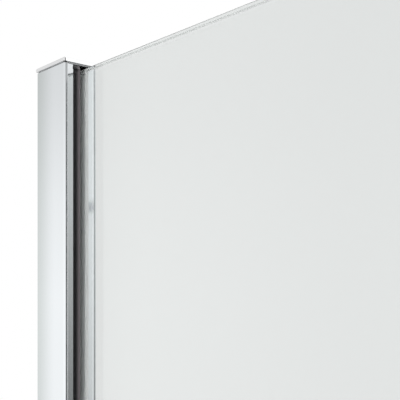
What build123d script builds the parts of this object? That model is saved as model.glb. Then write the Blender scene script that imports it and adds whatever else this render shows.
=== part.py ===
from build123d import *
import os

os.makedirs("parts", exist_ok=True)

# The frame: X runs from the wall along the glass, Y through the glass (the dry side is -Y),
# Z up from the shower tray. The origin is the foot of the wall channel, on the wall, in the
# middle plane of the glass. All sizes are in millimetres.

# Overall sizes
screen_height = 1950.0
screen_width = 900.0
adjustment_travel = 12.0

# Wall channel, the outer extrusion that is screwed to the wall
channel_depth = 29.0
channel_web = 2.0
channel_flange = 1.4
channel_tip_round = 1.2
channel_inner_tip_round = 0.15
channel_root_round = 0.5
wall_hole_radius = 2.75
wall_hole_end_distance = 100.0
wall_hole_inner_spacing = 580.0

# Glass profile, the inner extrusion that telescopes in the wall channel
slide_clearance = 0.15
profile_wall = 1.4
profile_web_gap = 3.0
profile_web = 1.6
profile_lip_width = 3.3
profile_lip_depth = 2.5
profile_lip_bevel = 0.1
profile_lip_slope = 0.35
top_clearance = 0.3

# Top cap
cap_thickness = 2.1
cap_overhang = 0.7
cap_corner_round = 1.0
cap_edge_bevel = 0.6
cap_seat_height = 0.6
cap_seat_inset = 0.6
cap_leg_length = 12.0
cap_leg_width = 16.0
cap_leg_clearance = 0.2

# Glass
glass_thickness = 8.0
glass_arris = 0.5
glass_corner_radius = 3.0
glass_below_cap = 2.7
glass_above_tray = 12.0
glass_edge_gap = 2.4

# Gasket on the dry side and packing strip on the wet side, which is thinner
front_gasket_width = 3.65
rear_packing_width = 1.9
gasket_body_depth = 6.0
packing_body_depth = 4.5
gasket_fit = 0.05
gasket_proud = 0.3
gasket_valley_depth = 0.7
gasket_valley_from_glass = 1.5
gasket_lip_setback = 0.4
gasket_end_setback = 0.6
gasket_crease_height = 0.3
gasket_crease_depth = 0.9
packing_bevel = 0.4
gasket_barb = 0.5
gasket_barb_count = 3
barb_share = 0.75

# Pads behind the glass edge, and the foot that carries the glass in its profile
edge_pad_length = 60.0
edge_pad_count = 3
foot_flange = 2.0
foot_plug_height = 8.0
foot_fit = 0.1

# Clear seal under the glass
seal_wall = 1.0
seal_leg_height = 14.0
seal_end_gap = 1.0
seal_fin_spread = 2.5

# Adjuster screws through the wet-side flanges
adjuster_count = 3
adjuster_end_distance = 250.0
adjuster_from_tip = 6.5
adjuster_shank_radius = 2.0
adjuster_hole_clearance = 0.15
adjuster_head_radius = 3.5
adjuster_head_height = 2.2
adjuster_socket_depth = 1.3
adjuster_slot_radius = 2.3
adjuster_nut_width = 7.0
adjuster_nut_thickness = 2.2
adjuster_nut_gap = 0.1
thread_fit = 0.05
nut_room = 1.0
adjuster_shank_overrun = 0.4
cover_radius = 5.2
cover_height = 3.4
cover_bevel = 0.9
cover_fit = 0.05

# Clamp on the top edge of the glass
clamp_from_free_edge = 100.0
clamp_length = 40.0
clamp_width = 28.0
clamp_height = 34.0
clamp_round = 3.0
clamp_bevel = 1.0
clamp_slot_depth = 22.0
clamp_liner_thickness = 1.2
clamp_slide_clearance = 0.1
clamp_top_gap = 0.3
pressure_plate_thickness = 2.0
pressure_plate_length = 30.0
pressure_plate_height = 14.0
clamp_screw_radius = 3.0
clamp_screw_spacing = 20.0
clamp_screw_recess = 1.0
hex_socket_radius = 1.75
hex_socket_depth = 2.5

# Swivel joints at both ends of the support bar
tongue_thickness = 6.0
tongue_radius = 7.0
pin_radius = 3.0
pin_running_fit = 0.05
pin_press_fit = 0.02
pin_head_radius = 4.2
pin_head_height = 1.2
pin_to_block = 11.0
washer_thickness = 0.8
washer_radius = 6.0
washer_play = 0.05
fork_throat = 8.5
fork_shoulder = 6.0
fork_spigot_length = 28.0
spigot_fit = 0.05
fork_screw_radius = 2.0

# Support bar and its wall bracket
bar_side = 15.0
bar_wall = 1.2
bar_edge_round = 1.2
bar_reach = 1000.0
bracket_plate_thickness = 6.0
bracket_plate_width = 30.0
bracket_plate_height = 62.0
bracket_round = 3.0
bracket_bevel = 1.0
bracket_hole_radius = 2.6
bracket_hole_spacing = 44.0

# Levels and places that follow from the sizes above. The two extrusions are symmetrical about
# section_middle, which stands off the glass because the gasket and the packing differ.
channel_top = screen_height - cap_thickness - cap_seat_height
glass_top = channel_top - glass_below_cap
glass_face = glass_thickness / 2
section_middle = (rear_packing_width - front_gasket_width) / 2
profile_mouth = (front_gasket_width + glass_thickness + rear_packing_width) / 2
profile_outside = profile_mouth + profile_lip_width
profile_inside = profile_outside - profile_wall
channel_face = profile_outside + slide_clearance + channel_flange
wet_channel_face = section_middle + channel_face
wet_pocket_face = section_middle + profile_inside
profile_back = channel_web + profile_web_gap
pocket_floor = profile_back + profile_web
lip_back = channel_depth - profile_lip_depth
profile_top = channel_top - top_clearance
glass_edge = pocket_floor + glass_edge_gap
adjuster_x = channel_depth - adjuster_from_tip
adjuster_step = (channel_top - 2 * adjuster_end_distance) / (adjuster_count - 1)
adjuster_levels = [adjuster_end_distance + i * adjuster_step for i in range(adjuster_count)]
wall_hole_levels = [
    wall_hole_end_distance,
    (screen_height - wall_hole_inner_spacing) / 2,
    (screen_height + wall_hole_inner_spacing) / 2,
    screen_height - wall_hole_end_distance,
]
clamp_x = screen_width - clamp_from_free_edge
clamp_roof = glass_top + clamp_top_gap + clamp_liner_thickness
clamp_bottom = clamp_roof - clamp_slot_depth
clamp_middle = clamp_bottom + clamp_height / 2
liner_face = glass_face + clamp_slide_clearance
plate_back = liner_face + clamp_liner_thickness + pressure_plate_thickness
clamp_screw_level = clamp_bottom + clamp_slot_depth / 2
glass_pin_y = clamp_width / 2 + pin_to_block
bracket_front = bar_reach - bracket_plate_thickness
wall_pin_y = bracket_front - pin_to_block
ear_gap = tongue_thickness + 2 * washer_thickness + 2 * washer_play


def prism(points, low, high):
    """A straight piece with the given outline in plan, between two levels."""
    outline = make_face(Polyline(*points, close=True))
    return Pos(0, 0, low) * extrude(outline, amount=high - low)


def block(x_range, y_range, z_range):
    """A rectangular block between pairs of limits."""
    spans = [high - low for low, high in (x_range, y_range, z_range)]
    middle = [(low + high) / 2 for low, high in (x_range, y_range, z_range)]
    return Pos(*middle) * Box(*spans)


def rod_x(x_range, y, z, radius):
    """A round rod along X."""
    low, high = x_range
    return Pos((low + high) / 2, y, z) * Rot(0, 90, 0) * Cylinder(radius, high - low)


def rod_y(x, y_range, z, radius):
    """A round rod along Y."""
    low, high = y_range
    return Pos(x, (low + high) / 2, z) * Rot(90, 0, 0) * Cylinder(radius, high - low)


def rod_z(x, y, z_range, radius):
    """A round rod along Z."""
    low, high = z_range
    return Pos(x, y, (low + high) / 2) * Cylinder(radius, high - low)


def vertices_at(shape, x, y):
    """The corners of a plan outline at one distance from the wall and from its middle."""
    return [v for v in shape.vertices() if abs(v.X - x) < 0.01 and abs(abs(v.Y) - y) < 0.01]


def plan_rectangle(x_range, half_width):
    """A rectangle in plan, symmetrical about Y = 0."""
    low, high = x_range
    return Pos((low + high) / 2, 0) * Rectangle(high - low, 2 * half_width)


def channel_section():
    """The wall channel in plan: a web and two flanges with rounded tips."""
    inside = channel_face - channel_flange
    section = plan_rectangle((0, channel_depth), channel_face)
    section -= plan_rectangle((channel_web, channel_depth), inside)
    section = fillet(vertices_at(section, channel_depth, channel_face), channel_tip_round)
    section = fillet(vertices_at(section, channel_depth, inside), channel_inner_tip_round)
    section = fillet(vertices_at(section, 0, channel_face), channel_root_round)
    return Pos(0, section_middle) * section


def wall_channel():
    """Outer extrusion, with wall holes in the web and screw holes in the wet-side flange."""
    channel = extrude(channel_section(), amount=channel_top)
    for level in wall_hole_levels:
        channel -= rod_x((-1, channel_web + 1), section_middle, level, wall_hole_radius)
    hole_radius = adjuster_shank_radius + adjuster_hole_clearance
    flange_span = (wet_channel_face - channel_flange - 1, wet_channel_face + 1)
    for level in adjuster_levels:
        channel -= rod_y(adjuster_x, flange_span, level, hole_radius)
    return channel


def top_cap():
    """Flat cap over the channel. It overhangs a lower seat, and a tongue drops in at the back."""
    reach = channel_depth + cap_overhang
    half_width = channel_face + cap_overhang
    plate = plan_rectangle((0, reach), half_width)
    plate = fillet(vertices_at(plate, reach, half_width), cap_corner_round)
    plate = extrude(Pos(0, section_middle) * plate, amount=cap_thickness)
    plate = chamfer(plate.faces().sort_by(Axis.Z)[-1].edges(), cap_edge_bevel)
    seat_limits = (cap_seat_inset, channel_depth - cap_seat_inset)
    seat = plan_rectangle(seat_limits, channel_face - cap_seat_inset)
    seat = extrude(Pos(0, section_middle) * seat, amount=cap_seat_height)
    leg_front = channel_web + profile_web_gap - cap_leg_clearance
    leg = block(
        (channel_web + cap_leg_clearance, leg_front),
        (section_middle - cap_leg_width / 2, section_middle + cap_leg_width / 2),
        (-cap_leg_length, 0),
    )
    return Pos(0, 0, channel_top) * (Pos(0, 0, cap_seat_height) * plate + seat + leg)


def profile_outline():
    """The glass profile in plan: web, two walls, and a lip at each tip that slopes to the glass."""
    half = [
        (profile_back, 0),
        (profile_back, profile_outside),
        (channel_depth - profile_lip_bevel, profile_outside),
        (channel_depth, profile_outside - profile_lip_bevel),
        (channel_depth - profile_lip_slope, profile_mouth),
        (lip_back, profile_mouth),
        (lip_back, profile_inside),
        (pocket_floor, profile_inside),
        (pocket_floor, 0),
    ]
    other = [(x, -y) for x, y in reversed(half[1:-1])]
    return [(x, section_middle + y) for x, y in half + other]


def glass_profile():
    """Inner extrusion that holds the glass, slotted for the adjuster screws."""
    profile = prism(profile_outline(), foot_flange, profile_top)
    slot_span = (wet_pocket_face - 1, wet_pocket_face + profile_wall + 1)
    for level in adjuster_levels:
        slot_start = adjuster_x - adjustment_travel
        profile -= rod_y(slot_start, slot_span, level, adjuster_slot_radius)
        profile -= rod_y(adjuster_x, slot_span, level, adjuster_slot_radius)
        slot_height = (level - adjuster_slot_radius, level + adjuster_slot_radius)
        profile -= block((slot_start, adjuster_x), slot_span, slot_height)
    return profile


def glass_sheet():
    """Toughened glass with arrissed edges and eased free corners."""
    sheet = block(
        (glass_edge, screen_width), (-glass_face, glass_face), (glass_above_tray, glass_top)
    )
    free_corners = sheet.edges().filter_by(Axis.Y).sort_by(Axis.X)[-2:]
    sheet = fillet(free_corners, glass_corner_radius)
    rims = sheet.faces().filter_by(Axis.Y)
    return chamfer(rims.edges(), glass_arris)


def strip_outline(side, body_depth, face):
    """A push-in glazing strip in plan, barbed behind the profile's lip, on one side of the glass.

    The face lists its visible end from the lip to the glass: distances out of the profile, and
    from the glass. The first point has no distance from the glass, because it is at the lip.
    """
    inner = glass_face + gasket_fit
    outer = profile_inside + side * section_middle - gasket_fit
    neck = profile_mouth + side * section_middle - gasket_fit
    shoulder = lip_back - gasket_fit
    tail = shoulder - body_depth
    pitch = body_depth / gasket_barb_count
    points = [(tail, inner)]
    for i in range(gasket_barb_count):
        root = tail + i * pitch
        points += [(root, outer - gasket_barb), (root + pitch * barb_share, outer)]
    points += [(shoulder, outer - gasket_barb), (shoulder, neck), (channel_depth + face[0], neck)]
    points += [(channel_depth + out, inner + away) for out, away in face[1:]]
    return [(x, side * y) for x, y in points]


def squeezed_gasket():
    """The black gasket in plan where the glass squeezes it: a shallow valley in its face."""
    valley = (-gasket_valley_depth, gasket_valley_from_glass)
    face = [-gasket_lip_setback, valley, (gasket_proud, 0)]
    return strip_outline(-1, gasket_body_depth, face)


def front_gasket():
    """Black wedge gasket on the dry side, as tall as the profile.

    Above the glass nothing squeezes it: there its face is flat, over a crease, and cut aslant.
    """
    gasket = prism(squeezed_gasket(), foot_flange, glass_top)
    crease_top = glass_top + gasket_crease_height
    crease = strip_outline(-1, gasket_body_depth, [-gasket_crease_depth, (0, 0)])
    gasket += prism(crease, glass_top, crease_top)
    relaxed = strip_outline(-1, gasket_body_depth, [0, (gasket_proud, 0)])
    gasket += prism(relaxed, crease_top, profile_top)
    tip = channel_depth + gasket_proud
    slant = make_face(
        Polyline(
            (tip, crease_top),
            (tip, profile_top),
            (tip - gasket_end_setback, profile_top),
            close=True,
        )
    )
    width = profile_mouth + profile_lip_width
    return gasket - Pos(0, glass_face - width) * extrude(Plane.XZ * slant, amount=width, both=True)


def rear_packing():
    """Clear packing strip on the wet side, from the foot of the glass to the profile's top."""
    face = [0, (0, packing_bevel), (-packing_bevel, 0)]
    outline = strip_outline(1, packing_body_depth, face)
    strip = prism(outline, glass_above_tray, profile_top)
    half = adjuster_nut_width / 2 + nut_room
    for level in adjuster_levels:
        strip -= block(
            (pocket_floor, lip_back),
            (glass_face, wet_pocket_face),
            (level - half, level + half),
        )
    return strip


def edge_pads():
    """Rubber pads between the glass edge and the floor of the pocket."""
    step = (glass_top - glass_above_tray - edge_pad_length) / (edge_pad_count - 1)
    pads = []
    for i in range(edge_pad_count):
        low = glass_above_tray + i * step
        levels = (low, low + edge_pad_length)
        pads.append(block((pocket_floor, glass_edge), (-glass_face, glass_face), levels))
    return Compound(children=pads)


def profile_foot():
    """Plug that closes the glass profile at the tray."""
    flange = block(
        (profile_back, channel_depth),
        (section_middle - profile_outside, section_middle + profile_outside),
        (0, foot_flange),
    )
    plug = block(
        (pocket_floor + foot_fit, lip_back - foot_fit),
        (section_middle - profile_inside + foot_fit, wet_pocket_face - foot_fit),
        (0, foot_flange + foot_plug_height),
    )
    return flange + plug - prism(squeezed_gasket(), foot_flange, glass_above_tray)


def setting_block():
    """Firm rubber block that carries the glass on the foot."""
    return block(
        (glass_edge, lip_back - foot_fit),
        (-glass_face, glass_face),
        (foot_flange + foot_plug_height, glass_above_tray),
    )


def bottom_seal():
    """Clear strip pushed on the lower glass edge, with two fins down to the tray."""
    start = channel_depth + gasket_proud + seal_end_gap
    outer = glass_face + seal_wall
    base = glass_above_tray - seal_wall
    leg_top = glass_above_tray + seal_leg_height
    half = [
        (0, glass_above_tray),
        (glass_face, glass_above_tray),
        (glass_face, leg_top),
        (outer, leg_top),
        (outer, base),
        (outer + seal_fin_spread, seal_wall),
        (outer + seal_fin_spread, 0),
        (outer + seal_fin_spread - seal_wall, 0),
        (outer - seal_wall, base),
        (0, base),
    ]
    points = half + [(-y, z) for y, z in reversed(half[1:-1])]
    section = Plane.YZ.offset(start) * make_face(Polyline(*points, close=True))
    return extrude(section, amount=screen_width - glass_corner_radius - start)


def adjuster_screws():
    """Pan-head screws that clamp the two extrusions together."""
    nut_inner = wet_pocket_face - adjuster_nut_gap - adjuster_nut_thickness
    shank_end = nut_inner - adjuster_shank_overrun
    head = (wet_channel_face, wet_channel_face + adjuster_head_height)
    screws = []
    for level in adjuster_levels:
        screw = rod_y(adjuster_x, (shank_end, wet_channel_face), level, adjuster_shank_radius)
        screw += rod_y(adjuster_x, head, level, adjuster_head_radius)
        socket = extrude(RegularPolygon(hex_socket_radius, 6), amount=adjuster_head_height)
        socket_floor = head[1] - adjuster_socket_depth
        screw -= Pos(adjuster_x, socket_floor, level) * Rot(-90, 0, 0) * socket
        screws.append(screw)
    return Compound(children=screws)


def adjuster_nuts():
    """Square nuts behind the slotted wall of the glass profile."""
    outer = wet_pocket_face - adjuster_nut_gap
    half = adjuster_nut_width / 2
    nuts = []
    for level in adjuster_levels:
        nut = block(
            (adjuster_x - half, adjuster_x + half),
            (outer - adjuster_nut_thickness, outer),
            (level - half, level + half),
        )
        through = (outer - adjuster_nut_thickness - 1, outer + 1)
        nut -= rod_y(adjuster_x, through, level, adjuster_shank_radius + thread_fit)
        nuts.append(nut)
    return Compound(children=nuts)


def adjuster_covers():
    """Snap-on covers that hide the adjuster screw heads."""
    covers = []
    for level in adjuster_levels:
        outside = (wet_channel_face, wet_channel_face + cover_height)
        cover = rod_y(adjuster_x, outside, level, cover_radius)
        cover = chamfer(cover.faces().sort_by(Axis.Y)[-1].edges(), cover_bevel)
        hollow = (wet_channel_face, wet_channel_face + adjuster_head_height + cover_fit)
        cover -= rod_y(adjuster_x, hollow, level, adjuster_head_radius + cover_fit)
        covers.append(cover)
    return Compound(children=covers)


def tongue(y_block, y_pin):
    """A flat tongue with a rounded, bored end, from a block towards the pin."""
    low, high = sorted((y_block, y_pin))
    half = tongue_thickness / 2
    levels = (clamp_middle - half, clamp_middle + half)
    piece = block((clamp_x - tongue_radius, clamp_x + tongue_radius), (low, high), levels)
    piece += rod_z(clamp_x, y_pin, levels, tongue_radius)
    return piece - rod_z(clamp_x, y_pin, levels, pin_radius + pin_running_fit)


def clamp_body():
    """Block that straddles the glass edge, with a tongue for the bar."""
    half_length = clamp_length / 2
    body = block(
        (clamp_x - half_length, clamp_x + half_length),
        (-clamp_width / 2, clamp_width / 2),
        (clamp_bottom, clamp_bottom + clamp_height),
    )
    body = fillet(body.edges().filter_by(Axis.Z), clamp_round)
    body = chamfer(body.faces().sort_by(Axis.Z)[-1].edges(), clamp_bevel)
    slot_side = liner_face + clamp_liner_thickness
    body -= block(
        (clamp_x - half_length, clamp_x + half_length),
        (-slot_side, slot_side),
        (clamp_bottom, clamp_roof),
    )
    body -= block(
        (clamp_x - pressure_plate_length / 2, clamp_x + pressure_plate_length / 2),
        (slot_side, plate_back),
        (clamp_screw_level - pressure_plate_height / 2, clamp_screw_level + pressure_plate_height / 2),
    )
    for x in clamp_screw_places():
        body -= rod_y(x, (plate_back, clamp_width), clamp_screw_level, clamp_screw_radius)
    return body + tongue(clamp_width / 2, glass_pin_y)


def clamp_screw_places():
    """Where the clamp's two grub screws stand along the glass."""
    return [clamp_x - clamp_screw_spacing / 2, clamp_x + clamp_screw_spacing / 2]


def clamp_liner():
    """Soft U-shaped liner between the clamp and the glass."""
    half_length = clamp_length / 2
    outer = liner_face + clamp_liner_thickness
    x_range = (clamp_x - half_length, clamp_x + half_length)
    liner = block(x_range, (-outer, outer), (clamp_bottom, clamp_roof))
    inner_top = clamp_roof - clamp_liner_thickness
    return liner - block(x_range, (-liner_face, liner_face), (clamp_bottom, inner_top))


def pressure_plate():
    """Steel plate that spreads the load of the grub screws."""
    half_length = pressure_plate_length / 2
    half_height = pressure_plate_height / 2
    return block(
        (clamp_x - half_length, clamp_x + half_length),
        (plate_back - pressure_plate_thickness, plate_back),
        (clamp_screw_level - half_height, clamp_screw_level + half_height),
    )


def clamp_grub_screws():
    """Grub screws that press the plate towards the glass."""
    end = clamp_width / 2 - clamp_screw_recess
    screws = []
    for x in clamp_screw_places():
        screw = rod_y(x, (plate_back, end), clamp_screw_level, clamp_screw_radius)
        socket = extrude(RegularPolygon(hex_socket_radius, 6), amount=hex_socket_depth)
        screw -= Pos(x, end - hex_socket_depth, clamp_screw_level) * Rot(-90, 0, 0) * socket
        screws.append(screw)
    return Compound(children=screws)


def bar_fork(y_pin, direction):
    """Forked end fitting: two ears round the tongue and a spigot into the bar."""
    half = bar_side / 2
    levels = (clamp_middle - half, clamp_middle + half)
    shoulder_end = y_pin + direction * (fork_throat + fork_shoulder)
    low, high = sorted((y_pin, shoulder_end))
    fork = block((clamp_x - half, clamp_x + half), (low, high), levels)
    fork += rod_z(clamp_x, y_pin, levels, half)
    throat = sorted((y_pin - direction * bar_side, y_pin + direction * fork_throat))
    gap = (clamp_middle - ear_gap / 2, clamp_middle + ear_gap / 2)
    fork -= block((clamp_x - bar_side, clamp_x + bar_side), throat, gap)
    fork -= rod_z(clamp_x, y_pin, levels, pin_radius + pin_press_fit)
    spigot_end = shoulder_end + direction * fork_spigot_length
    low, high = sorted((shoulder_end, spigot_end))
    reach = half - bar_wall - spigot_fit
    spigot = block(
        (clamp_x - reach, clamp_x + reach),
        (low, high),
        (clamp_middle - reach, clamp_middle + reach),
    )
    screw_y = shoulder_end + direction * fork_spigot_length / 2
    bore = (clamp_middle - half, clamp_middle)
    return fork + spigot - rod_z(clamp_x, screw_y, bore, fork_screw_radius)


def bar_ends():
    """Where the bar's two ends stand: against the shoulders of the forks."""
    start = glass_pin_y + fork_throat + fork_shoulder
    return start, wall_pin_y - fork_throat - fork_shoulder


def fork_screw_places():
    """Where the forks' grub screws stand along the bar."""
    start, end = bar_ends()
    return [start + fork_spigot_length / 2, end - fork_spigot_length / 2]


def support_bar():
    """Square tube between the two forks."""
    outside = Rectangle(bar_side, bar_side)
    outside = fillet(outside.vertices(), bar_edge_round)
    bore = Rectangle(bar_side - 2 * bar_wall, bar_side - 2 * bar_wall)
    start, end = bar_ends()
    section = Pos(clamp_x, start, clamp_middle) * Rot(-90, 0, 0) * (outside - bore)
    bar = extrude(section, amount=end - start, dir=(0, 1, 0))
    for y in fork_screw_places():
        bar -= rod_z(clamp_x, y, (clamp_middle - bar_side, clamp_middle), fork_screw_radius)
    return bar


def fork_grub_screws():
    """Grub screws that lock the forks in the bar, from below."""
    low = clamp_middle - bar_side / 2 + spigot_fit
    screws = []
    for y in fork_screw_places():
        screw = rod_z(clamp_x, y, (low, clamp_middle), fork_screw_radius)
        socket = extrude(RegularPolygon(fork_screw_radius / 2, 6), amount=hex_socket_depth)
        screws.append(screw - Pos(clamp_x, y, low) * socket)
    return Compound(children=screws)


def swivel_pin(y_pin):
    """Pin through the ears and the tongue, with a low head on the upper ear."""
    half = bar_side / 2
    low, high = clamp_middle - half, clamp_middle + half
    pin = rod_z(clamp_x, y_pin, (low, high), pin_radius)
    return pin + rod_z(clamp_x, y_pin, (high, high + pin_head_height), pin_head_radius)


def swivel_washers():
    """Nylon washers above and below each tongue."""
    offset = tongue_thickness / 2 + washer_play
    washers = []
    for y_pin in (glass_pin_y, wall_pin_y):
        for side in (-1, 1):
            ends = sorted((side * offset, side * (offset + washer_thickness)))
            levels = [clamp_middle + level for level in ends]
            washer = rod_z(clamp_x, y_pin, levels, washer_radius)
            washers.append(washer - rod_z(clamp_x, y_pin, levels, pin_radius + pin_running_fit))
    return Compound(children=washers)


def wall_bracket():
    """Wall plate with two screw holes and a tongue for the bar."""
    half_width = bracket_plate_width / 2
    half_height = bracket_plate_height / 2
    plate = block(
        (clamp_x - half_width, clamp_x + half_width),
        (bracket_front, bar_reach),
        (clamp_middle - half_height, clamp_middle + half_height),
    )
    plate = fillet(plate.edges().filter_by(Axis.Y), bracket_round)
    plate = chamfer(plate.faces().sort_by(Axis.Y)[0].edges(), bracket_bevel)
    for side in (-1, 1):
        level = clamp_middle + side * bracket_hole_spacing / 2
        plate -= rod_y(clamp_x, (bracket_front - 1, bar_reach + 1), level, bracket_hole_radius)
    return plate + tongue(bracket_front, wall_pin_y)


pieces = {
    "wall_channel": wall_channel(),
    "top_cap": top_cap(),
    "adjuster_screws": adjuster_screws(),
    "adjuster_nuts": adjuster_nuts(),
    "adjuster_covers": adjuster_covers(),
    "glass_profile": glass_profile(),
    "glass_sheet": glass_sheet(),
    "front_gasket": front_gasket(),
    "rear_packing": rear_packing(),
    "edge_pads": edge_pads(),
    "setting_block": setting_block(),
    "profile_foot": profile_foot(),
    "bottom_seal": bottom_seal(),
    "clamp_body": clamp_body(),
    "clamp_liner": clamp_liner(),
    "pressure_plate": pressure_plate(),
    "clamp_grub_screws": clamp_grub_screws(),
    "glass_end_fork": bar_fork(glass_pin_y, 1),
    "wall_end_fork": bar_fork(wall_pin_y, -1),
    "support_bar": support_bar(),
    "fork_grub_screws": fork_grub_screws(),
    "glass_end_pin": swivel_pin(glass_pin_y),
    "wall_end_pin": swivel_pin(wall_pin_y),
    "swivel_washers": swivel_washers(),
    "wall_bracket": wall_bracket(),
}
for name, piece in pieces.items():
    export_step(piece, f"parts/{name}.step")
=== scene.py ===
import math

import bpy
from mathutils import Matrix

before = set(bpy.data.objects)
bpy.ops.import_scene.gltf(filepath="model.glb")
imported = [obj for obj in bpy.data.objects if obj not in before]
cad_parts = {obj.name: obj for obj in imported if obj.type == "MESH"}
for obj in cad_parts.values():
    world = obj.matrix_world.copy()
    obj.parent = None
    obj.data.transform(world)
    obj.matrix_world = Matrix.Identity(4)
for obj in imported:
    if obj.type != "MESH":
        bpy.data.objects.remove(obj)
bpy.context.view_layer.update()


# The photograph's view: a level camera beside the dry side of the screen, a little below its top,
# looking past the wall profile's corner. The frame is raised by a small shift, as a view camera
# does it, so that the uprights stay parallel.
photo_side = 400
focal_pixels = 684.7
horizon_row = 262.8
film_width = 36.0
camera_place = (0.3317, -0.1873, 1.8467)
camera_turn = math.radians(48.84)

camera_data = bpy.data.cameras.new("photo_camera")
camera_data.sensor_width = film_width
camera_data.lens = focal_pixels / photo_side * film_width
camera_data.shift_y = (horizon_row - photo_side / 2) / photo_side
camera_data.clip_start = 0.01
camera_data.clip_end = 100.0
camera = bpy.data.objects.new("photo_camera", camera_data)
camera.location = camera_place
camera.rotation_euler = (math.pi / 2, 0, camera_turn)
bpy.context.scene.collection.objects.link(camera)
bpy.context.scene.camera = camera
bpy.context.scene.view_settings.view_transform = "Standard"


# The studio: white behind the object, as the camera and the glass see it, and a soft surround for
# the metal to mirror. It has brighter panels towards the wall and the free end, a dark place behind
# the camera, and beyond the free end it falls off towards the floor.
def link(tree, start, end):
    """Joins two sockets of a node tree."""
    tree.links.new(start, end)


def add_node(tree, kind, **settings):
    """Adds a node with its settings and its unlinked inputs, given by name."""
    node = tree.nodes.new(kind)
    inputs = settings.pop("inputs", {})
    for name, value in settings.items():
        setattr(node, name, value)
    for name, value in inputs.items():
        node.inputs[name].default_value = value
    return node


def number_node(tree, operation, *values):
    """A Math node whose inputs are sockets or plain numbers; gives its output."""
    node = add_node(tree, "ShaderNodeMath", operation=operation)
    for socket, value in zip(node.inputs, values):
        if isinstance(value, (int, float)):
            socket.default_value = value
        else:
            link(tree, value, socket)
    return node.outputs[0]


def grey_ramp(tree, value, stops):
    """Maps a 0 to 1 value to grey levels, given as (place, level) pairs."""
    node = add_node(tree, "ShaderNodeValToRGB")
    ramp = node.color_ramp
    while len(ramp.elements) < len(stops):
        ramp.elements.new(0.5)
    for element, (place, level) in zip(ramp.elements, stops):
        element.position = place
        element.color = (level, level, level, 1)
    link(tree, value, node.inputs["Fac"])
    return node.outputs["Color"]


def height_levels(tree, height, stops):
    """Grey levels for directions that rise by given heights, from -1 at the foot to 1."""
    share = number_node(tree, "MULTIPLY_ADD", height, 0.5, 0.5)
    return grey_ramp(tree, share, [((rise + 1) / 2, level) for rise, level in stops])


def step_between(tree, value, low, high):
    """A smooth step from 0 at one value to 1 at another."""
    node = add_node(tree, "ShaderNodeMapRange", interpolation_type="SMOOTHSTEP")
    node.inputs["From Min"].default_value = low
    node.inputs["From Max"].default_value = high
    link(tree, value, node.inputs["Value"])
    return node.outputs[0]


def mixed_grey(tree, factor, first, second):
    """A mix of two grey levels."""
    difference = number_node(tree, "SUBTRACT", second, first)
    return number_node(tree, "MULTIPLY_ADD", factor, difference, first)


def glow(tree, color, strength):
    """A background shader whose colour is a socket or a grey number."""
    node = add_node(tree, "ShaderNodeBackground", inputs={"Strength": strength})
    if isinstance(color, (int, float)):
        node.inputs["Color"].default_value = (color, color, color, 1)
    else:
        link(tree, color, node.inputs["Color"])
    return node.outputs[0]


# Grey levels by rise: on the dry side, in two directions past the free end, and on the wet side.
dry_side_levels = [
    (-0.2, 0.97),
    (-0.05, 0.98),
    (0.09, 0.91),
    (0.23, 0.78),
    (0.3, 0.74),
    (0.5, 0.65),
]
free_end_levels = [(-0.2, 0.95), (-0.05, 1.1), (0.09, 1.2), (0.3, 1.2), (0.5, 0.7)]
far_end_levels = [
    (-0.2, 0.18),
    (-0.05, 0.42),
    (0.09, 0.62),
    (0.23, 0.74),
    (0.28, 0.9),
    (0.5, 0.7),
]
wet_side_levels = [(-0.5, 1.0), (0.35, 1.0), (0.58, 0.45), (0.7, 0.45), (0.8, 1.0)]
# Where one gives way to the next, in shares of a full turn from the wall by way of the dry side.
dry_side_end = (0.43, 0.50)
free_end_end = (0.57, 0.61)
far_end_end = (0.69, 0.75)
wet_side_end = (0.96, 1.0)
# Factors by the same turn: brighter panels towards the wall, and a dark place behind the camera.
bright_panels = [(0.088, 1.0), (0.10, 1.3), (0.12, 1.25), (0.15, 1.0), (0.2, 1.0), (0.3, 1.1)]
behind_camera = [(0.38, 1.1), (0.41, 0.06), (0.50, 0.06), (0.54, 1.0)]
white_level = 1.0
fill_level = 0.75
# The glass takes about a third of the light at each pass and stops the lamps' direct light, so
# what is lit through it, or seen and lit through it, gets that share back from the surround.
light_through_glass = 1.5
light_both_ways = 2.5
# Limits on a ray's counts: one bounce or more, and four faces of glass or more, which is twice
# through the pane.
any_bounce = 0.5
four_faces = 3.5

world = bpy.data.worlds.new("studio")
bpy.context.scene.world = world
world.use_nodes = True
sky = world.node_tree
sky.nodes.clear()
direction = add_node(sky, "ShaderNodeTexCoord")
split = add_node(sky, "ShaderNodeSeparateXYZ")
link(sky, direction.outputs["Generated"], split.inputs[0])
rise = split.outputs["Z"]
from_wall = number_node(sky, "MULTIPLY", split.outputs["X"], -1.0)
from_glass = number_node(sky, "MULTIPLY", split.outputs["Y"], -1.0)
angle = number_node(sky, "ARCTAN2", from_glass, from_wall)
turn = number_node(sky, "WRAP", number_node(sky, "DIVIDE", angle, math.tau), 1.0, 0.0)
level = mixed_grey(
    sky,
    step_between(sky, turn, *dry_side_end),
    height_levels(sky, rise, dry_side_levels),
    height_levels(sky, rise, free_end_levels),
)
level = mixed_grey(
    sky,
    step_between(sky, turn, *free_end_end),
    level,
    height_levels(sky, rise, far_end_levels),
)
wet_side = number_node(
    sky,
    "SUBTRACT",
    step_between(sky, turn, *far_end_end),
    step_between(sky, turn, *wet_side_end),
)
level = mixed_grey(sky, wet_side, level, height_levels(sky, rise, wet_side_levels))
level = number_node(sky, "MULTIPLY", level, grey_ramp(sky, turn, bright_panels + behind_camera))

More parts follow.
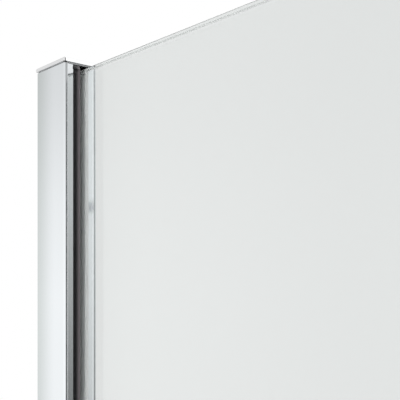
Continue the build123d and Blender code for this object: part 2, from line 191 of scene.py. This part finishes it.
path = add_node(sky, "ShaderNodeLightPath")
behind_glass = path.outputs["Is Transmission Ray"]
unmirrored = number_node(sky, "LESS_THAN", path.outputs["Glossy Depth"], any_bounce)
undiffused = number_node(sky, "LESS_THAN", path.outputs["Diffuse Depth"], any_bounce)
clear_view = number_node(sky, "MULTIPLY", unmirrored, undiffused)
clear_view = number_node(sky, "MULTIPLY", behind_glass, clear_view)
seen_white = number_node(sky, "MAXIMUM", path.outputs["Is Camera Ray"], clear_view)
lit_through_glass = number_node(sky, "GREATER_THAN", path.outputs["Diffuse Depth"], any_bounce)
lit_through_glass = number_node(sky, "MULTIPLY", behind_glass, lit_through_glass)
both_ways = number_node(sky, "GREATER_THAN", path.outputs["Transmission Depth"], four_faces)
mirror_like = number_node(sky, "MAXIMUM", path.outputs["Is Glossy Ray"], behind_glass)


def mixed_light(factor, first, second):
    """A mix of two of the world's shaders."""
    node = add_node(sky, "ShaderNodeMixShader")
    link(sky, factor, node.inputs["Fac"])
    link(sky, first, node.inputs[1])
    link(sky, second, node.inputs[2])
    return node.outputs[0]


light = mixed_light(mirror_like, glow(sky, 1.0, fill_level), glow(sky, level, 1.0))
behind = mixed_light(
    both_ways,
    glow(sky, 1.0, light_through_glass),
    glow(sky, 1.0, light_both_ways),
)
light = mixed_light(lit_through_glass, light, behind)
light = mixed_light(seen_white, light, glow(sky, 1.0, white_level))
link(sky, light, add_node(sky, "ShaderNodeOutputWorld").inputs["Surface"])


# The studio floor: a round sheet painted a pale matt grey. It catches the screen's shadow and
# fades into the white surround.
floor_radius = 4.0
floor_sides = 64
floor_place = (0.45, 0.4, -0.0005)
floor_fade_start = 1.4
floor_fade_end = 3.4
floor_colour = (0.86, 0.86, 0.86, 1.0)

floor_mesh = bpy.data.meshes.new("floor")
rim_angles = [math.tau * side / floor_sides for side in range(floor_sides)]
floor_rim = [(floor_radius * math.cos(a), floor_radius * math.sin(a), 0) for a in rim_angles]
floor_mesh.from_pydata(floor_rim, [], [list(range(floor_sides))])
floor = bpy.data.objects.new("floor", floor_mesh)
floor.location = floor_place
bpy.context.scene.collection.objects.link(floor)

floor_paint = bpy.data.materials.new("floor_paint")
floor_paint.use_nodes = True
tree = floor_paint.node_tree
tree.nodes.clear()
place = add_node(tree, "ShaderNodeTexCoord")
distance = add_node(tree, "ShaderNodeVectorMath", operation="LENGTH")
link(tree, place.outputs["Object"], distance.inputs[0])
matt = add_node(tree, "ShaderNodeBsdfDiffuse")
matt.inputs["Color"].default_value = floor_colour
white = add_node(tree, "ShaderNodeEmission", inputs={"Strength": white_level})
fade = add_node(tree, "ShaderNodeMixShader")
fade_share = step_between(tree, distance.outputs["Value"], floor_fade_start, floor_fade_end)
link(tree, fade_share, fade.inputs["Fac"])
link(tree, matt.outputs[0], fade.inputs[1])
link(tree, white.outputs[0], fade.inputs[2])
link(tree, fade.outputs[0], add_node(tree, "ShaderNodeOutputMaterial").inputs["Surface"])
floor_mesh.materials.append(floor_paint)


# Two large softboxes: one high on the dry side, and a smaller, weaker one high on the wet side,
# far enough up that the lips of the profile don't mirror it.
def softbox(name, place, aim, size, power):
    """A square area lamp that faces a point."""
    data = bpy.data.lights.new(name, "AREA")
    data.size = size
    data.energy = power
    lamp = bpy.data.objects.new(name, data)
    lamp.location = place
    toward = [a - p for a, p in zip(aim, place)]
    flat = math.hypot(toward[0], toward[1])
    lamp.rotation_euler = (
        math.pi / 2 + math.atan2(toward[2], flat),
        0,
        math.atan2(toward[1], toward[0]) - math.pi / 2,
    )
    bpy.context.scene.collection.objects.link(lamp)


softbox("dry_side_softbox", place=(0.6, -1.2, 3.6), aim=(0.4, 0.3, 0.9), size=2.4, power=24.0)
softbox("wet_side_softbox", place=(1.5, 1.4, 4.0), aim=(0.2, 0.2, 1.4), size=1.6, power=20.0)


# The bright polished aluminium of the two extrusions. Drawn along their length, they keep faint
# die lines and a slight change of gloss. Painted shade makes the skin a quarter darker next to the
# wall.
broad_share = 0.05
noise_range = (0.3, 0.7)


def streak_group():
    """A node group with fine streaks and broad patches on Object coordinates."""
    group = bpy.data.node_groups.new("streaks", "ShaderNodeTree")
    group.interface.new_socket("Size", in_out="INPUT", socket_type="NodeSocketFloat")
    group.interface.new_socket("Stretch", in_out="INPUT", socket_type="NodeSocketVector")
    group.interface.new_socket("Fine", in_out="OUTPUT", socket_type="NodeSocketFloat")
    group.interface.new_socket("Broad", in_out="OUTPUT", socket_type="NodeSocketFloat")
    start = add_node(group, "NodeGroupInput")
    end = add_node(group, "NodeGroupOutput")
    coordinates = add_node(group, "ShaderNodeTexCoord")
    stretched = add_node(group, "ShaderNodeVectorMath", operation="MULTIPLY")
    link(group, coordinates.outputs["Object"], stretched.inputs[0])
    link(group, start.outputs["Stretch"], stretched.inputs[1])
    per_metre = number_node(group, "DIVIDE", 1.0, start.outputs["Size"])
    fine = add_node(group, "ShaderNodeTexNoise", inputs={"Detail": 3.0, "Roughness": 0.6})
    link(group, stretched.outputs[0], fine.inputs["Vector"])
    link(group, per_metre, fine.inputs["Scale"])
    broad = add_node(group, "ShaderNodeTexNoise", inputs={"Detail": 2.0})
    link(group, coordinates.outputs["Object"], broad.inputs["Vector"])
    link(group, number_node(group, "MULTIPLY", per_metre, broad_share), broad.inputs["Scale"])
    link(group, fine.outputs["Fac"], end.inputs["Fine"])
    link(group, broad.outputs["Fac"], end.inputs["Broad"])
    return group


streaks = streak_group()


def new_material(name, color):
    """A node material of one base colour: (its tree, its Principled shader)."""
    material = bpy.data.materials.new(name)
    material.use_nodes = True
    tree = material.node_tree
    tree.nodes.clear()
    shader = add_node(tree, "ShaderNodeBsdfPrincipled")
    shader.inputs["Base Color"].default_value = (*color, 1)
    link(tree, shader.outputs[0], add_node(tree, "ShaderNodeOutputMaterial").inputs["Surface"])
    return material, tree, shader


def spread(tree, value, low, high):
    """Maps a noise value to a range."""
    node = add_node(tree, "ShaderNodeMapRange", inputs={"To Min": low, "To Max": high})
    node.inputs["From Min"].default_value = noise_range[0]
    node.inputs["From Max"].default_value = noise_range[1]
    link(tree, value, node.inputs["Value"])
    return node.outputs[0]


def texture(tree, shader, size, stretch, roughness, relief):
    """Gives a material its streaks, as a roughness range and a relief in metres.

    The streak group's node is handed back, for a mottled colour.
    """
    node = add_node(tree, "ShaderNodeGroup", node_tree=streaks)
    node.inputs["Size"].default_value = size
    node.inputs["Stretch"].default_value = stretch
    blend = mixed_grey(tree, 0.5, node.outputs["Fine"], node.outputs["Broad"])
    link(tree, spread(tree, blend, *roughness), shader.inputs["Roughness"])
    bump = add_node(tree, "ShaderNodeBump", inputs={"Strength": 0.3, "Distance": relief})
    link(tree, node.outputs["Fine"], bump.inputs["Height"])
    link(tree, bump.outputs[0], shader.inputs["Normal"])
    return node


def tinted(tree, factor, first, second):
    """A mix of two colours, each a socket or three numbers."""
    mix = add_node(tree, "ShaderNodeMix", data_type="RGBA")
    sockets = [socket for socket in mix.inputs if socket.type == "RGBA"]
    for socket, color in zip(sockets, (first, second)):
        if isinstance(color, tuple):
            socket.default_value = (*color, 1)
        else:
            link(tree, color, socket)
    link(tree, factor, mix.inputs["Factor"])
    return [socket for socket in mix.outputs if socket.type == "RGBA"][0]


def mottle(tree, shader, node, first, second):
    """Lets a material's base colour drift between two colours with its broad patches."""
    link(tree, tinted(tree, node.outputs["Broad"], first, second), shader.inputs["Base Color"])


def coordinate(tree, axis):
    """One of the Object coordinates, in metres."""
    place = add_node(tree, "ShaderNodeTexCoord")
    split = add_node(tree, "ShaderNodeSeparateXYZ")
    link(tree, place.outputs["Object"], split.inputs[0])
    return split.outputs[axis]


def dress(material, *node_names):
    """Gives carried-over solids their material."""
    for node_name in node_names:
        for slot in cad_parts[node_name].material_slots:
            slot.material = material


# Painted shade: the base colour runs from a dark grey at the wall to the bright skin 20 mm out.
wall_shade_zone = (-0.002, 0.020)
painted_wall_shade = (0.655, 0.695, 0.69)
unshaded_skin = (0.89, 0.92, 0.94)
polished_aluminium, tree, shader = new_material("polished_aluminium", (0.91, 0.915, 0.92))
shader.inputs["Metallic"].default_value = 1.0
texture(tree, shader, size=0.0006, stretch=(1, 1, 0.004), roughness=(0.05, 0.09), relief=0.000001)
out_of_wall_shade = step_between(tree, coordinate(tree, "X"), *wall_shade_zone)
skin = tinted(tree, out_of_wall_shade, painted_wall_shade, unshaded_skin)
link(tree, skin, shader.inputs["Base Color"])
dress(polished_aluminium, "wall_channel", "glass_profile")


# The top cap: a chrome-plated moulding with the slight unevenness of a plated skin. Its underside
# is unplated: grey on the seat, its own colour darkened as painted shade so it shows as a fine dark
# line over the channel, and black below it and at the seat's dry-side corner, as painted shade of
# the gap.
seat_low = 1.9473
seat_high = 1.9479
seat_margin = 0.00001
shade_corner_x = 0.0276
shade_corner_y = -0.0112
plating = (0.96, 0.965, 0.97)
seat_grey_and_shade = (0.6, 0.61, 0.62)
painted_gap_shade = (0.02, 0.02, 0.021)
cap_plating_and_shade, tree, shader = new_material("cap_plating_and_shade", plating)
texture(tree, shader, size=0.0024, stretch=(1, 1, 1), roughness=(0.04, 0.09), relief=0.000002)
height = coordinate(tree, "Z")
plated = number_node(tree, "GREATER_THAN", height, seat_high + seat_margin)
seated = number_node(tree, "GREATER_THAN", height, seat_low + seat_margin)
link(tree, plated, shader.inputs["Metallic"])
# Painted shade: a black spot at the seat's dry-side corner, where the gap lies in shadow.
past_face = number_node(tree, "GREATER_THAN", coordinate(tree, "X"), shade_corner_x)
corner_shade = number_node(tree, "LESS_THAN", coordinate(tree, "Y"), shade_corner_y)
corner_shade = number_node(tree, "MULTIPLY", past_face, corner_shade)
on_seat = number_node(tree, "SUBTRACT", seated, number_node(tree, "MULTIPLY", seated, corner_shade))
# Painted shade: black under the seat, and a darkened grey on the seat itself.
underside_shade = tinted(tree, on_seat, painted_gap_shade, seat_grey_and_shade)
link(tree, tinted(tree, plated, underside_shade, plating), shader.inputs["Base Color"])
dress(cap_plating_and_shade, "top_cap")


# The covers over the adjuster screws: small domes, snapped over the screw heads. They are the
# same chrome-plated moulding as the cap, a little more uneven.
cover_plating, tree, shader = new_material("cover_plating", plating)
shader.inputs["Metallic"].default_value = 1.0
texture(tree, shader, size=0.002, stretch=(1, 1, 1), roughness=(0.04, 0.12), relief=0.000004)
dress(cover_plating, "adjuster_covers")


# Plain stainless steel of the adjuster screws and nuts, the clamp's plate, the grub screws and the
# swivel pins, with turning marks.
stainless_steel, tree, shader = new_material("stainless_steel", (0.60, 0.60, 0.61))
shader.inputs["Metallic"].default_value = 1.0
node = texture(tree, shader, size=0.0004, stretch=(1, 1, 6), roughness=(0.2, 0.36), relief=0.000004)
mottle(tree, shader, node, (0.56, 0.56, 0.57), (0.64, 0.64, 0.64))
dress(
    stainless_steel,
    "adjuster_screws",
    "adjuster_nuts",
    "pressure_plate",
    "clamp_grub_screws",
    "fork_grub_screws",
    "glass_end_pin",
    "wall_end_pin",
)


# The toughened glass: float glass with a grey tint, faintly green through its depth, with polished
# faces and ground arrises.
arris_slopes = (0.3, 0.95)
ground_roughness = 0.9
smear_roughness = 0.006
clear_glass, tree, shader = new_material("clear_glass", (0.76, 0.775, 0.77))
shader.inputs["IOR"].default_value = 1.52
shader.inputs["Transmission Weight"].default_value = 1.0
surface = add_node(tree, "ShaderNodeNewGeometry")
facing = add_node(tree, "ShaderNodeSeparateXYZ")
link(tree, surface.outputs["True Normal"], facing.inputs[0])
slope = number_node(tree, "ABSOLUTE", facing.outputs["Y"])
above = number_node(tree, "GREATER_THAN", slope, arris_slopes[0])
below = number_node(tree, "LESS_THAN", slope, arris_slopes[1])
ground = number_node(tree, "MULTIPLY", above, below)
wiped = add_node(tree, "ShaderNodeGroup", node_tree=streaks)
wiped.inputs["Size"].default_value = 0.02
wiped.inputs["Stretch"].default_value = (1, 1, 0.3)
smear = spread(tree, wiped.outputs["Broad"], 0.0, smear_roughness)
polish = number_node(tree, "MULTIPLY_ADD", ground, ground_roughness, smear)
link(tree, polish, shader.inputs["Roughness"])
absorb = add_node(tree, "ShaderNodeVolumeAbsorption", inputs={"Density": 2.0})
absorb.inputs["Color"].default_value = (0.55, 0.85, 0.75, 1)
output = [node for node in tree.nodes if node.type == "OUTPUT_MATERIAL"][0]
link(tree, absorb.outputs[0], output.inputs["Volume"])
dress(clear_glass, "glass_sheet")


# The wedge gasket, pressed in on the dry side: extruded satin black rubber. Its lip on the glass
# is painted grey, a painted highlight for the light that the lip's bead catches.
lit_lip_zone = (-0.0059, -0.0039)
gasket_black = (0.007, 0.007, 0.008)
painted_lip_light = (0.16, 0.14, 0.15)
gasket_rubber_and_lip_light, tree, shader = new_material("gasket_rubber_and_lip_light", gasket_black)
shader.inputs["Specular IOR Level"].default_value = 0.35
texture(tree, shader, size=0.0005, stretch=(1, 1, 0.05), roughness=(0.35, 0.5), relief=0.000006)
# Painted highlight: grey on the lip next to the glass, black elsewhere.
lip_light_share = step_between(tree, coordinate(tree, "Y"), *lit_lip_zone)
rubber_and_lip_light = tinted(tree, lip_light_share, gasket_black, painted_lip_light)
link(tree, rubber_and_lip_light, shader.inputs["Base Color"])
dress(gasket_rubber_and_lip_light, "front_gasket")


# Plain black rubber of the edge pads behind the glass and of the block that it stands on, cut
# from sheet and slightly chalky.
black_rubber, tree, shader = new_material("black_rubber", (0.012, 0.012, 0.013))
node = texture(tree, shader, size=0.0008, stretch=(1, 1, 1), roughness=(0.45, 0.65), relief=0.00001)
mottle(tree, shader, node, (0.010, 0.010, 0.010), (0.018, 0.018, 0.019))
dress(black_rubber, "edge_pads", "setting_block")


# Milky soft vinyl of the packing strip, the bottom seal and the clamp's liner: extruded strip,
# pushed in or over the glass. Light spreads a little way into it.
milky_vinyl, tree, shader = new_material("milky_vinyl", (0.96, 0.965, 0.965))
shader.inputs["IOR"].default_value = 1.5
shader.inputs["Subsurface Weight"].default_value = 1.0
shader.inputs["Subsurface Radius"].default_value = (1.0, 1.0, 1.0)
shader.inputs["Subsurface Scale"].default_value = 0.0015
texture(tree, shader, size=0.002, stretch=(1, 1, 0.1), roughness=(0.22, 0.38), relief=0.000006)
dress(milky_vinyl, "rear_packing", "bottom_seal", "clamp_liner")


# The foot that plugs the glass profile at the tray: moulded grey plastic with a fine
# spark-eroded texture.
grey_plastic, tree, shader = new_material("grey_plastic", (0.33, 0.34, 0.35))
node = texture(tree, shader, size=0.0004, stretch=(1, 1, 1), roughness=(0.42, 0.6), relief=0.00001)
mottle(tree, shader, node, (0.31, 0.32, 0.33), (0.35, 0.36, 0.37))
dress(grey_plastic, "profile_foot")


# Bright chrome of the clamp, the forks, the bar and the bracket: cast or drawn, polished and
# plated, with faint polishing marks.
bright_chrome, tree, shader = new_material("bright_chrome", (0.64, 0.65, 0.67))
shader.inputs["Metallic"].default_value = 1.0
node = texture(
    tree,
    shader,
    size=0.0015,
    stretch=(1, 0.05, 1),
    roughness=(0.03, 0.09),
    relief=0.000001,
)
mottle(tree, shader, node, (0.62, 0.63, 0.65), (0.67, 0.68, 0.69))
dress(
    bright_chrome,
    "clamp_body",
    "glass_end_fork",
    "wall_end_fork",
    "support_bar",
    "wall_bracket",
)


# Natural nylon of the washers in the swivels, punched from sheet and slightly mottled. They are
# held by the pins.
nylon, tree, shader = new_material("nylon", (0.80, 0.80, 0.77))
node = texture(tree, shader, size=0.0006, stretch=(1, 1, 1), roughness=(0.4, 0.6), relief=0.00001)
mottle(tree, shader, node, (0.76, 0.76, 0.73), (0.84, 0.84, 0.81))
dress(nylon, "swivel_washers")
